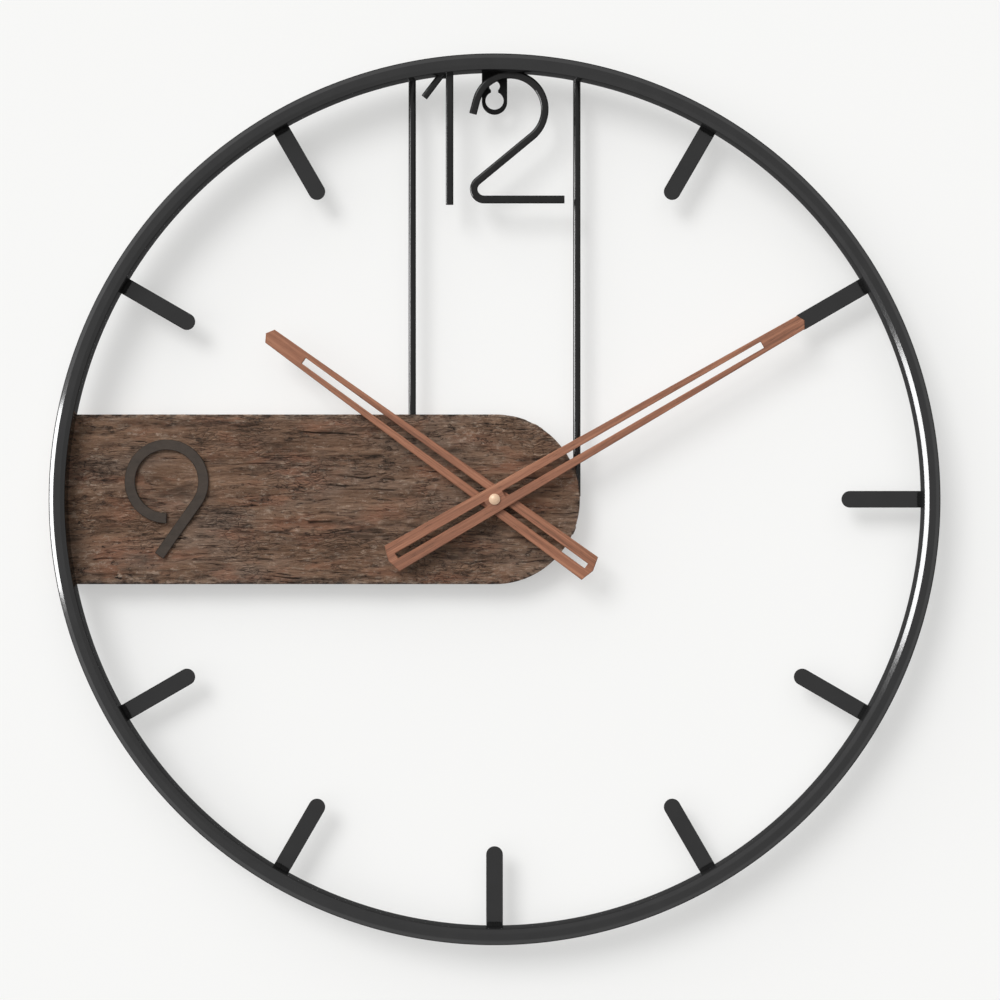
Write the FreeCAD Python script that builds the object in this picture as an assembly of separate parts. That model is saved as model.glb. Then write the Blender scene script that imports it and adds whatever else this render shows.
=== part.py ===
import FreeCAD, Part
import math
import os

# Wall clock, all sizes in millimetres. The row frame has +Z up and +Y towards the wall, and its
# origin is the centre of the hanger's small hole. Shapes are drawn about the hands' axis, which
# is hook_drop below the origin, and save() moves them down by that much. A bearing is an angle
# in degrees clockwise from 12 o'clock, as seen from the front.

hook_drop = 280.4

# Hoop: a rolled rectangular tube. Its front corners are bevelled, then rounded into the sides.
hoop_outer = 300.0
hoop_inner = 288.9
hoop_front = -21.0
hoop_rear = -1.0
hoop_wall = 1.2
hoop_outer_bevel, hoop_outer_rounding = 3.65, 3.4
hoop_inner_bevel, hoop_inner_rounding = 2.8, 1.0
least_rounding = 0.3
hoop_rear_corner = 1.4

# Hour markers: flat bars welded to the hoop's inner wall.
marker_hours = (1, 2, 3, 4, 5, 6, 7, 8, 10, 11)
marker_width = 11.3
marker_thickness = 2.5
marker_inner = 235.4
marker_edge = 0.4
hour_angle = 30.0

# Two vertical rods of round wire, welded to the back of the hoop and let into the board.
rod_diameter = 5.0
rod_offset = 55.9
rod_axis_y = 1.0
rod_left_end = 34.0
rod_right_end = 2.0
rod_top_radius = 297.0

# The 12, of square bar with soft corners, welded to the hoop's inner wall.
bar_width = 5.1
bar_corner = 1.4
numeral_axis_y = -6.4
one_stem_x = -30.4
one_bottom = 199.4
one_flag_width = 4.4
one_flag_tip = (-47.5, 272.0)
one_flag_slope = 52.7
one_weld_height = 2.6
one_weld_half_share = 0.3
one_weld_reach = 1.0
two_bowl_centre = (10.5, 263.8)
two_bowl_radius = 23.5
two_leg_angle = 165.0
two_leg_length = 9.2
two_slope = 39.5
two_bend_radius = 7.0
two_bottom = 202.8
two_right = 47.3

# Flat 9 on the board, held by two studs.
nine_centre = (-222.0, 12.1)
nine_radius = 24.9
nine_width = 7.05
nine_thickness = 2.0
nine_start = -90.0
nine_tail = (-227.1, -38.3)
nine_stud_radius = 1.25
nine_stud_depth = 8.0
nine_ring_stud_angle = 130.0
nine_tail_stud_share = 0.25
nine_tail_stud_rise = 6.0
nine_edge = 0.4

# Keyhole tab on the back of the hoop. The clock hangs in its small hole.
tab_thickness = 2.0
tab_half_width = 8.6
tab_top = 296.0
tab_round_centre = 269.8
hook_small_radius = 3.65
hook_large_radius = 6.15
hook_large_centre = 270.6
hook_neck_half_width = 2.4

# Wooden board: round at its right end, with a tongue behind the hoop at its left end.
board_front = -4.0
board_back = 18.0
board_half_height = 57.55
board_round_x = 1.0
board_tongue_radius = 298.0
pocket_half = 29.0
pocket_corner = 4.0
pocket_floor = -0.5
shaft_hole_radius = 4.3

# Two screws through the tongue into the hoop's rear wall.
screw_radius = 1.75
screw_head_radius = 3.5
screw_head_height = 2.4
screw_seat = 9.0
screw_counterbore = 4.6
screw_tip = -5.2
screw_circle = 294.4
screw_height = 35.0
screw_slot_width = 0.9
screw_slot_depth = 1.1
screw_slot_share = 0.6
screw_head_rounding = 1.2
screw_point_radius = 0.3
screw_point_length = 1.5

# Hands.
hand_thickness = 2.4
hand_edge = 0.35
minute_bearing = 60.0
minute_rear = -12.2
minute_outline = {"tip": 241.0, "shoulder": 238.2, "end": 5.2, "tail": 10.0, "tail_shoulder": -79.8,
                  "tail_tip": -82.6}
minute_slots = ((7.4, 208.4, 4.6), (-76.2, -6.9, 3.8))
hour_bearing = 306.0
hour_rear = -8.8
hour_outline = {"tip": 190.7, "shoulder": 187.3, "end": 5.45, "tail": 9.5, "tail_shoulder": -79.5,
                "tail_tip": -82.2}
hour_slots = ((7.4, 159.1, 4.6), (-76.6, -6.9, 3.8))
bush_flange = 0.5
minute_bush_radius, minute_bush_flange_radius = 3.0, 4.5
hour_bush_radius, hour_bush_flange_radius = 3.5, 5.4
hour_bush_clearance = 0.35

# Shafts of the movement, all on the hands' axis.
hour_tube_outer = 2.55
hour_tube_inner = 1.73
hour_tube_end = -11.0
minute_tube_radius = 1.65
minute_seat_radius = 1.45
minute_seat_flat = 1.15
minute_thread_radius = 1.25
minute_thread_end = -16.4
minute_bore = 0.58
minute_bore_front = -5.0
minute_arbor_back = 9.9
minute_collar_radius, minute_collar_width = 1.6, 0.5
minute_spigot = 1.1
seconds_arbor_radius = 0.5
seconds_arbor_front = -4.0
thin_arbor_radius = 0.4
running_gap = 0.05
cap_radius = 3.75
cap_height = 2.4
cap_skirt = 1.1

# Fixing of the movement in the board.
bushing_radius = 3.9
bushing_bore = 2.63
bushing_end = -8.5
bushing_flange = 5.5
bushing_flange_thickness = 0.8
thread_pitch = 0.75
thread_depth = 0.3
thread_crest = (0.4, 0.6)
nut_flats = 11.0
nut_height = 2.0
nut_bevel_inside, nut_bevel_outside = 0.9, 1.2
washer_radius = 6.5
washer_thickness = 0.5
gasket_radius = 10.0

# Movement case.
case_half = 28.0
case_corner = 3.0
case_wall = 1.2
case_front = 0.3
case_plate = 1.5
case_rim = 14.6
cover_back = 15.8
bay_top = -10.5
bay_wall = 1.2
pivot_depth = 0.65
pivot_room = 0.15
knob_gap = 0.08

# Gear train: tooth counts and modules. Wheels on one axis share a distance to their partner.
tooth_addendum = 0.8
tooth_dedendum = 1.1
tooth_share = 0.44
tooth_tip = 0.55
tooth_root = 1.2
rotor_teeth, fifth_teeth, rotor_module = 8, 40, 0.3
fifth_pinion_teeth, seconds_teeth, fifth_module = 8, 48, 0.32
centre_teeth, third_pinion_teeth, centre_module = 64, 8, 0.25
seconds_pinion_teeth, third_teeth = 8, 60
cannon_teeth, reverser_teeth, cannon_module = 12, 36, 0.4
reverser_pinion_teeth, hour_teeth = 10, 40
third_bearing = 315.0
fifth_bearing = 45.0
rotor_bearing = 30.0
reverser_bearing = 105.0

# Front and back of each wheel along Y.
wheel_span = {
    "hour": (2.8, 4.0), "reverser_pinion": (2.6, 4.4), "cannon": (4.3, 7.4), "reverser": (5.6, 6.8),
    "centre": (8.0, 8.8), "third_pinion": (7.7, 9.1), "third": (11.0, 11.8),
    "seconds_pinion": (10.7, 12.1), "seconds": (13.0, 13.8), "fifth_pinion": (12.7, 14.1),
    "fifth": (9.6, 10.4), "rotor": (9.3, 10.7)}

# Windows in each wheel's web, as the circle they lie on and their radius, and the wheels' hubs.
wheel_windows = {"hour": (5.0, 1.3), "reverser": (4.3, 1.5), "centre": (5.0, 1.5),
                 "third": (4.6, 1.6), "seconds": (4.6, 1.5), "fifth": (3.4, 1.1)}
centre_hub_radius, centre_hub_reach = 2.2, 0.4
seconds_hub_radius = 1.1
thin_hub_radius = 1.0
rotor_sleeve_radius = 0.9

# Setting knob, coil, stator and circuit board.
knob_teeth, knob_module = 24, 0.36
knob_front, knob_back = 16.1, 17.4
knob_stem = 1.2
knob_stem_front = 10.0
reverser_arbor = 0.8
reverser_arbor_back = 14.4
reverser_pivot_back = 3.0
stator_span = (5.2, 6.4)
stator_half_length = 14.5
stator_leg = 4.0
stator_half_band = 4.0
stator_top = 23.2
rotor_hole = 3.1
magnet_radius = 2.5
magnet_span = (4.6, 7.0)
core_half_height = 1.5
core_thickness = 1.2
coil_centre_z = 21.4
coil_half_length = 9.9
coil_flange = 4.0
coil_flange_thickness = 0.8
coil_tube = 2.6
coil_winding = 3.6
pcb_span = (4.0, 5.0)
pcb_box = (-26.0, -15.6, -9.5, 22.0)
post_radius = 1.5
stator_post_inset = 2.0
pcb_post_inset = 3.5
chip_radius, chip_height, chip_rounding = 3.0, 1.2, 0.9
chip_z = 4.0
crystal_radius, crystal_low, crystal_high = 1.0, 9.5, 15.5

# Battery and its contacts.
battery_radius = 7.2
battery_y = 8.9
battery_z = -19.3
battery_half = 25.25
battery_nub = 1.5
battery_nub_radius = 2.75
battery_rounding = 0.5
contact_thickness = 0.5
contact_half = 5.0
contact_dome_height = 0.85
contact_dome_base, contact_dome_top = 2.6, 1.2

same_place = 1e-6

TO_WALL = FreeCAD.Vector(0, 1, 0)
ORIGIN = FreeCAD.Vector(0, 0, 0)


def polar(radius, bearing):
    """Point (x, z) at a radius and bearing from the hands' axis."""
    angle = math.radians(bearing)
    return radius * math.sin(angle), radius * math.cos(angle)


def shifted(centre, offset):
    return centre[0] + offset[0], centre[1] + offset[1]


def disc(radius, front, back, centre=(0, 0)):
    base = FreeCAD.Vector(centre[0], front, centre[1])
    return Part.makeCylinder(radius, back - front, base, TO_WALL)


def ring(outer, inner, front, back, centre=(0, 0)):
    return disc(outer, front, back, centre).cut(disc(inner, front, back, centre))


def block(x0, x1, y0, y1, z0, z1):
    return Part.makeBox(x1 - x0, y1 - y0, z1 - z0, FreeCAD.Vector(x0, y0, z0))


def upright(radius, x, y, z0, z1):
    return Part.makeCylinder(radius, z1 - z0, FreeCAD.Vector(x, y, z0), FreeCAD.Vector(0, 0, 1))


def plate(front, back, start, *steps):
    """Flat piece. A step is a point, for a line, or a pair of points, for an arc through the first."""
    def at(point):
        return FreeCAD.Vector(point[0], front, point[1])
    edges = []
    here = start
    for step in steps + (start,):
        if isinstance(step[0], tuple):
            edges.append(Part.Arc(at(here), at(step[0]), at(step[1])).toShape())
            here = step[1]
        elif step != here:
            edges.append(Part.LineSegment(at(here), at(step)).toShape())
            here = step
    face = Part.Face(Part.Wire(edges))
    return face.extrude(TO_WALL * (back - front))


def rounded_square(half, corner, front, back):
    solid = block(-half, half, front, back, -half, half)
    edges = [e for e in solid.Edges if abs(e.tangentAt(e.FirstParameter).y) > 0.9]
    return solid.makeFillet(corner, edges)


def soften_front(solid, front, size):
    """Chamfers every edge of the flat face at the front plane."""
    edges = [e for e in solid.Edges if all(abs(v.Y - front) < same_place for v in e.Vertexes)]
    return solid.makeChamfer(size, edges)


def turned(solid, bearing):
    solid.rotate(ORIGIN, TO_WALL, bearing)
    return solid


def gear(teeth, module, span, centre, bearing, tooth_there, extra=0.0):
    """Spur gear with straight-sided teeth. A tooth, or else a gap, lies on the given bearing."""
    pitch = 360.0 / teeth
    tip_radius = teeth * module / 2 + tooth_addendum * module + extra
    root_radius = teeth * module / 2 - tooth_dedendum * module
    half = pitch * tooth_share / 2
    first = bearing if tooth_there else bearing + pitch / 2
    corners = ((root_radius, -half * tooth_root), (tip_radius, -half * tooth_tip),
               (tip_radius, half * tooth_tip), (root_radius, half * tooth_root))
    points = []
    for tooth in range(teeth):
        for radius, offset in corners:
            points.append(shifted(centre, polar(radius, first + tooth * pitch + offset)))
    return plate(span[0], span[1], points[0], *points[1:])


def tube_profile(inset):
    """Wire of the hoop's section, in the XY plane, set in from the outside by inset."""
    x0, x1 = hoop_inner + inset, hoop_outer - inset
    y0, y1 = hoop_front + inset, hoop_rear - inset
    rear = hoop_rear_corner - inset
    steep = math.radians(22.5)
    rear_bend = rear * (1 - math.sqrt(0.5))
    def half(side, x, middle, bevel_outside, rounding_outside):
        """From the middle of the front to the middle of the rear, along one side."""
        def at(depth_in, y):
            return FreeCAD.Vector(x - side * depth_in, y, 0)
        bevel = bevel_outside - inset * (2 - math.sqrt(2))
        rounding = max(rounding_outside - inset, least_rounding)
        side_start = y0 + bevel + rounding * math.tan(steep)
        bevel_end = rounding * (1 - math.cos(2 * steep))
        bend = rounding * (1 - math.cos(steep))
        front_end = at(bevel, y0)
        round_start = at(bevel_end, y0 + bevel - bevel_end)
        round_middle = at(bend, side_start - rounding * math.sin(steep))
        round_end = at(0, side_start)
        rear_start, rear_end = at(0, y1 - rear), at(rear, y1)
        return [Part.LineSegment(FreeCAD.Vector(middle, y0, 0), front_end).toShape(),
                Part.LineSegment(front_end, round_start).toShape(),
                Part.Arc(round_start, round_middle, round_end).toShape(),
                Part.LineSegment(round_end, rear_start).toShape(),
                Part.Arc(rear_start, at(rear_bend, y1 - rear_bend), rear_end).toShape(),
                Part.LineSegment(rear_end, FreeCAD.Vector(middle, y1, 0)).toShape()]
    middle = (x0 + x1) / 2
    edges = half(1, x1, middle, hoop_outer_bevel, hoop_outer_rounding)
    edges += half(-1, x0, middle, hoop_inner_bevel, hoop_inner_rounding)
    return Part.Wire(Part.__sortEdges__(edges))


def screw_places():
    across = -math.sqrt(screw_circle ** 2 - screw_height ** 2)
    return (across, screw_height), (across, -screw_height)


def make_hoop():
    tube = Part.Face(tube_profile(0)).revolve(ORIGIN, TO_WALL, 360)
    tube = tube.cut(Part.Face(tube_profile(hoop_wall)).revolve(ORIGIN, TO_WALL, 360))
    for place in screw_places():
        tube = tube.cut(disc(screw_radius, hoop_rear - hoop_wall, hoop_rear, place))
    return tube


def make_marker(hour):
    half = marker_width / 2
    side = math.sqrt(hoop_inner ** 2 - half ** 2)
    front = hoop_rear - marker_thickness
    bar = plate(front, hoop_rear, (-half, side), (-half, marker_inner + half),
                ((0, marker_inner), (half, marker_inner + half)), (half, side),
                ((0, hoop_inner), (-half, side)))
    front_edges = [e for e in bar.Edges if all(abs(v.Y - front) < same_place for v in e.Vertexes)]
    inner_end = [e for e in front_edges if e.CenterOfMass.z < side]
    return turned(bar.makeChamfer(marker_edge, inner_end), hour * hour_angle)


def make_rod(x, lower_end):
    top = math.sqrt(rod_top_radius ** 2 - rod_offset ** 2)
    rod = upright(rod_diameter / 2, x, rod_axis_y, lower_end, top)
    return rod.cut(ring(hoop_outer, hoop_inner, hoop_front, hoop_rear))


def bar_section(width, start, heading):
    """Wire of the square bar's section at start, across the heading. The bar lies in an XZ plane."""
    half = width / 2
    flat = half - bar_corner
    bulge = flat + bar_corner * math.sqrt(0.5)
    side = heading.cross(TO_WALL)
    def at(across, depth, quarter):
        for _ in range(quarter):
            across, depth = -depth, across
        return start + side * across + TO_WALL * depth
    edges = []
    for quarter in range(4):
        turn = at(half, flat, quarter), at(bulge, bulge, quarter), at(flat, half, quarter)
        edges.append(Part.Arc(*turn).toShape())
        edges.append(Part.LineSegment(turn[2], at(half, flat, quarter + 1)).toShape())
    return Part.Wire(edges)


def straight_bar(width, start, end):
    heading = (end - start).normalize()
    length = (end - start).Length
    return Part.Face(bar_section(width, start, heading)).extrude(heading * length)


def make_numeral_one():
    def at(x, z):
        return FreeCAD.Vector(x, numeral_axis_y, z)
    stem = straight_bar(bar_width, at(one_stem_x, one_bottom), at(one_stem_x, hoop_inner))
    slope = math.radians(one_flag_slope)
    rise = hoop_inner - one_flag_tip[1]
    top_x = one_flag_tip[0] + rise / math.tan(slope)
    flag = straight_bar(one_flag_width, at(*one_flag_tip), at(top_x, hoop_inner))
    weld_bottom = math.sqrt(hoop_inner ** 2 - one_stem_x ** 2) - one_weld_height
    half = one_flag_width * one_weld_half_share
    weld = block(top_x - one_weld_reach, one_stem_x, numeral_axis_y - half, numeral_axis_y + half,
                 weld_bottom, hoop_inner)
    return stem.fuse([flag, weld]).common(disc(hoop_inner, hoop_front, hoop_rear))


def two_centreline():
    """Leg, bowl, diagonal, bend and foot of the 2, as edges in its plane."""
    def at(x, z):
        return FreeCAD.Vector(x, numeral_axis_y, z)
    def around(centre, radius, angle):
        a = math.radians(angle)
        return at(centre[0] + radius * math.cos(a), centre[1] + radius * math.sin(a))
    slope = math.radians(two_slope)
    leave_angle = two_slope - 90
    enter = around(two_bowl_centre, two_bowl_radius, two_leg_angle)
    leave = around(two_bowl_centre, two_bowl_radius, leave_angle)
    leg_slope = math.radians(two_leg_angle - 90)
    leg_end = at(enter.x - two_leg_length * math.cos(leg_slope),
                 enter.z - two_leg_length * math.sin(leg_slope))
    bend_z = two_bottom + two_bend_radius
    drop = (leave.z - bend_z) * math.cos(slope)
    bend = (leave.x + (two_bend_radius - drop) / math.sin(slope), bend_z)
    turn_in = around(bend, two_bend_radius, 90 + two_slope)
    turn_out = around(bend, two_bend_radius, 270)
    crown = around(two_bowl_centre, two_bowl_radius, (two_leg_angle + leave_angle) / 2)
    elbow = around(bend, two_bend_radius, (90 + two_slope + 270) / 2)
    return [Part.LineSegment(leg_end, enter).toShape(),
            Part.Arc(enter, crown, leave).toShape(),
            Part.LineSegment(leave, turn_in).toShape(),
            Part.Arc(turn_in, elbow, turn_out).toShape(),
            Part.LineSegment(turn_out, at(two_right, two_bottom)).toShape()]


def make_numeral_two():
    edges = two_centreline()
    start = edges[0].Vertexes[0].Point
    heading = (edges[0].Vertexes[1].Point - start).normalize()
    section = bar_section(bar_width, start, heading)
    bar = Part.Wire(edges).makePipeShell([section], True, False)
    return bar.common(disc(hoop_inner, hoop_front, hoop_rear))


def nine_studs():
    """Centres of the studs behind the 9's ring and its tail."""
    inward = (nine_centre[0] - nine_tail[0]) * nine_tail_stud_share
    tail = (nine_tail[0] + inward, nine_tail[1] + nine_tail_stud_rise)
    angle = math.radians(nine_ring_stud_angle)
    ring_place = (nine_centre[0] + nine_radius * math.cos(angle),
                  nine_centre[1] + nine_radius * math.sin(angle))
    return ring_place, tail


def make_numeral_nine():
    half = nine_width / 2
    dx, dz = nine_tail[0] - nine_centre[0], nine_tail[1] - nine_centre[1]
    away = math.hypot(dx, dz)
    end_angle = math.degrees(math.atan2(dz, dx) + math.acos(nine_radius / away))
    middle = (nine_start + end_angle + 360) / 2
    def on(radius, angle):
        a = math.radians(angle)
        return nine_centre[0] + radius * math.cos(a), nine_centre[1] + radius * math.sin(a)
    side = (half * math.cos(math.radians(end_angle)), half * math.sin(math.radians(end_angle)))
    outer, inner = nine_radius + half, nine_radius - half
    front = board_front - nine_thickness
    strip = plate(front, board_front, on(outer, nine_start),
                  (on(outer, middle), on(outer, end_angle)), shifted(nine_tail, side),
                  (nine_tail[0] - side[0], nine_tail[1] - side[1]), on(inner, end_angle),
                  (on(inner, middle), on(inner, nine_start)))
    strip = soften_front(strip, front, nine_edge)
    for place in nine_studs():
        strip = strip.fuse(disc(nine_stud_radius, board_front, board_front + nine_stud_depth, place))
    return strip


def make_hanger_tab():
    half = tab_thickness / 2
    bottom = tab_round_centre - tab_half_width
    tab = plate(-half, half, (-tab_half_width, tab_top), (-tab_half_width, tab_round_centre),
                ((0, bottom), (tab_half_width, tab_round_centre)), (tab_half_width, tab_top))
    tab = tab.cut(disc(hook_small_radius, -half, half, (0, hook_drop)))
    tab = tab.cut(disc(hook_large_radius, -half, half, (0, hook_large_centre)))
    return tab.cut(block(-hook_neck_half_width, hook_neck_half_width, -half, half,
                         hook_large_centre, hook_drop))


def make_board():
    h = board_half_height
    board = plate(board_front, board_back, (-hoop_outer, -h), (board_round_x, -h),
                  ((board_round_x + h, 0), (board_round_x, h)), (-hoop_outer, h))
    reach = disc(hoop_inner, board_front, hoop_rear).fuse(
        disc(board_tongue_radius, hoop_rear, board_back))
    board = board.common(reach)
    board = board.cut(rounded_square(pocket_half, pocket_corner, pocket_floor, board_back))
    board = board.cut(disc(shaft_hole_radius, board_front, pocket_floor))
    for x, end in ((-rod_offset, rod_left_end), (rod_offset, rod_right_end)):
        board = board.cut(upright(rod_diameter / 2, x, rod_axis_y, end, h))
    for place in screw_places():
        board = board.cut(disc(screw_radius, hoop_rear, board_back, place))
        board = board.cut(disc(screw_counterbore, screw_seat, board_back, place))
    for place in nine_studs():
        board = board.cut(disc(nine_stud_radius, board_front, board_front + nine_stud_depth, place))
    return board


def make_screws():
    screws = []
    head_back = screw_seat + screw_head_height
    for x, z in screw_places():
        shank = disc(screw_radius, screw_tip, screw_seat, (x, z))
        point = FreeCAD.Vector(x, screw_tip - screw_point_length, z)
        tip = Part.makeCone(screw_point_radius, screw_radius, screw_point_length, point, TO_WALL)
        head = disc(screw_head_radius, screw_seat, head_back, (x, z))
        rim = [e for e in head.Edges if abs(e.CenterOfMass.y - head_back) < same_place]
        screw = shank.fuse(tip).fuse(head.makeFillet(screw_head_rounding, rim))
        reach, half = screw_head_radius * screw_slot_share, screw_slot_width / 2
        floor = head_back - screw_slot_depth
        screw = screw.cut(block(x - reach, x + reach, floor, head_back, z - half, z + half))
        screws.append(screw.cut(block(x - half, x + half, floor, head_back, z - reach, z + reach)))
    return Part.makeCompound(screws)


def make_hand(shape, slots, rear, bearing, bush_radius, flange_radius):
    front = rear - hand_thickness
    hand = plate(front, rear, (0, shape["tip"]), (shape["end"], shape["shoulder"]),
                 (shape["tail"], shape["tail_shoulder"]), (0, shape["tail_tip"]),
                 (-shape["tail"], shape["tail_shoulder"]), (-shape["end"], shape["shoulder"]))
    for low, high, width in slots:
        hand = hand.cut(block(-width / 2, width / 2, front, rear, low, high))
    hand = soften_front(hand, front, hand_edge)
    hand = hand.cut(disc(bush_radius, front, rear)).cut(disc(flange_radius, rear - bush_flange, rear))
    return turned(hand, bearing)


def make_minute_hand():
    return make_hand(minute_outline, minute_slots, minute_rear, minute_bearing,
                     minute_bush_radius, minute_bush_flange_radius)


def make_hour_hand():
    return make_hand(hour_outline, hour_slots, hour_rear, hour_bearing,
                     hour_bush_radius, hour_bush_flange_radius)


def minute_seat(front, back):
    """The part of the minute arbor with two flats, which the minute hand's bush fits."""
    flats = block(-minute_seat_flat, minute_seat_flat, front, back,
                  -2 * minute_seat_radius, 2 * minute_seat_radius)
    return turned(disc(minute_seat_radius, front, back).common(flats), minute_bearing)


def make_minute_bush():
    front = minute_rear - hand_thickness
    bush = disc(minute_bush_radius, front, minute_rear)
    bush = bush.fuse(disc(minute_bush_flange_radius, minute_rear - bush_flange, minute_rear))
    return bush.cut(minute_seat(front, minute_rear))


def make_hour_bush():
    front = hour_rear - hand_thickness
    bush = disc(hour_bush_radius, front, hour_rear)
    bush = bush.fuse(disc(hour_bush_flange_radius, hour_rear - bush_flange, hour_rear))
    bush = bush.cut(disc(hour_tube_outer, hour_tube_end, hour_rear))
    return bush.cut(disc(minute_tube_radius + hour_bush_clearance, front, hour_tube_end))


def make_cap_nut():
    back = minute_rear - hand_thickness
    crown = back - cap_height
    rise = cap_height - cap_skirt
    dome_radius = (cap_radius ** 2 + rise ** 2) / (2 * rise)
    dome = Part.makeSphere(dome_radius, FreeCAD.Vector(0, crown + dome_radius, 0))
    nut = disc(cap_radius, crown, back).common(dome)
    return nut.cut(disc(minute_thread_radius, minute_thread_end, back))


def centre_distance():
    """Shared by the centre wheel with the third pinion, and the third wheel with the seconds pinion."""
    return (centre_teeth + third_pinion_teeth) * centre_module / 2


def seconds_module():
    return 2 * centre_distance() / (seconds_pinion_teeth + third_teeth)


def reverser_distance():
    return (cannon_teeth + reverser_teeth) * cannon_module / 2


def hour_module():
    return 2 * reverser_distance() / (reverser_pinion_teeth + hour_teeth)


def third_place():
    return polar(centre_distance(), third_bearing)


def fifth_place():
    return polar((fifth_pinion_teeth + seconds_teeth) * fifth_module / 2, fifth_bearing)


def rotor_place():
    reach = (rotor_teeth + fifth_teeth) * rotor_module / 2
    return shifted(fifth_place(), polar(reach, rotor_bearing))


def reverser_place():
    return polar(reverser_distance(), reverser_bearing)


def arbor(radius, place):
    """Thin shaft from the front plate's pivot hole to the rear cover's."""
    return disc(radius, case_plate - pivot_depth, case_rim + pivot_depth, place)


def make_minute_arbor():
    cannon_front, cannon_back = wheel_span["cannon"]
    shaft = disc(minute_tube_radius, minute_rear, cannon_front)
    shaft = shaft.fuse(minute_seat(minute_rear - hand_thickness, minute_rear))
    shaft = shaft.fuse(disc(minute_thread_radius, minute_thread_end, minute_rear - hand_thickness))
    shaft = shaft.fuse(gear(cannon_teeth, cannon_module, wheel_span["cannon"], (0, 0),
                            reverser_bearing, True))
    shaft = shaft.fuse(disc(minute_spigot, cannon_back, minute_arbor_back))
    collar_front = minute_arbor_back - minute_collar_width
    shaft = shaft.fuse(disc(minute_collar_radius, collar_front, minute_arbor_back))
    return shaft.cut(disc(minute_bore, minute_bore_front, minute_arbor_back))


def make_centre_wheel():
    front, back = wheel_span["centre"]
    wheel = gear(centre_teeth, centre_module, (front, back), (0, 0), third_bearing, True)
    hub_front, hub_back = front - centre_hub_reach, back + centre_hub_reach
    wheel = wheel.fuse(disc(centre_hub_radius, hub_front, hub_back))
    wheel = wheel.cut(disc(minute_spigot + running_gap, hub_front, hub_back))
    return lightened(wheel, "centre", (0, 0))


def lightened(wheel, name, centre):
    """Cuts four round windows in a wheel's web."""
    front, back = wheel_span[name]
    circle, radius = wheel_windows[name]
    for step in range(4):
        place = shifted(centre, polar(circle, 45 + 90 * step))
        wheel = wheel.cut(disc(radius, front, back, place))
    return wheel


def make_third_wheel():
    place = third_place()
    back_bearing = third_bearing + 180
    pinion = gear(third_pinion_teeth, centre_module, wheel_span["third_pinion"], place,
                  back_bearing, False)
    wheel = gear(third_teeth, seconds_module(), wheel_span["third"], place, back_bearing, True)
    wheel = lightened(wheel, "third", place)
    hub = disc(thin_hub_radius, wheel_span["third_pinion"][1], wheel_span["third"][0], place)
    return arbor(thin_arbor_radius, place).fuse(pinion).fuse(wheel).fuse(hub)


def make_seconds_wheel():
    pinion = gear(seconds_pinion_teeth, seconds_module(), wheel_span["seconds_pinion"], (0, 0),
                  third_bearing, False)
    wheel = gear(seconds_teeth, fifth_module, wheel_span["seconds"], (0, 0), fifth_bearing, True)
    wheel = lightened(wheel, "seconds", (0, 0))
    hub = disc(seconds_hub_radius, wheel_span["seconds_pinion"][1], wheel_span["seconds"][0])
    shaft = disc(seconds_arbor_radius, seconds_arbor_front, case_rim + pivot_depth)
    return shaft.fuse(pinion).fuse(wheel).fuse(hub)


def make_fifth_wheel():
    place = fifth_place()
    pinion = gear(fifth_pinion_teeth, fifth_module, wheel_span["fifth_pinion"], place,
                  fifth_bearing + 180, False)
    wheel = gear(fifth_teeth, rotor_module, wheel_span["fifth"], place, rotor_bearing, True)
    wheel = lightened(wheel, "fifth", place)
    hub = disc(thin_hub_radius, wheel_span["fifth"][1], wheel_span["fifth_pinion"][0], place)
    return arbor(thin_arbor_radius, place).fuse(pinion).fuse(wheel).fuse(hub)


def make_rotor():
    place = rotor_place()
    pinion = gear(rotor_teeth, rotor_module, wheel_span["rotor"], place, rotor_bearing + 180, False)
    sleeve = disc(rotor_sleeve_radius, magnet_span[0], wheel_span["rotor"][0], place)
    return arbor(thin_arbor_radius, place).fuse(sleeve).fuse(pinion)


def make_rotor_magnet():
    return ring(magnet_radius, rotor_sleeve_radius, magnet_span[0], magnet_span[1], rotor_place())


def make_reverser_wheel():
    place = reverser_place()
    pinion = gear(reverser_pinion_teeth, hour_module(), wheel_span["reverser_pinion"], place,
                  reverser_bearing + 180, True)
    wheel = gear(reverser_teeth, cannon_module, wheel_span["reverser"], place,
                 reverser_bearing + 180, False)
    wheel = lightened(wheel, "reverser", place)
    shaft = disc(thin_arbor_radius, case_plate - pivot_depth, reverser_pivot_back, place)
    shaft = shaft.fuse(disc(reverser_arbor, wheel_span["reverser_pinion"][1],
                            reverser_arbor_back, place))
    return shaft.fuse(pinion).fuse(wheel)


def make_setting_knob():
    place = reverser_place()
    knob = gear(knob_teeth, knob_module, (knob_front, knob_back), place, 0, True)
    knob = knob.fuse(disc(knob_stem, knob_stem_front, knob_front, place))
    return knob.cut(disc(reverser_arbor, knob_stem_front, reverser_arbor_back, place))


def make_hour_wheel():
    front, back = wheel_span["hour"]
    wheel = gear(hour_teeth, hour_module(), (front, back), (0, 0), reverser_bearing, False)
    wheel = lightened(wheel, "hour", (0, 0))
    wheel = wheel.fuse(disc(hour_tube_outer, hour_tube_end, back))
    return wheel.cut(disc(hour_tube_inner, hour_tube_end, back))


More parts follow.
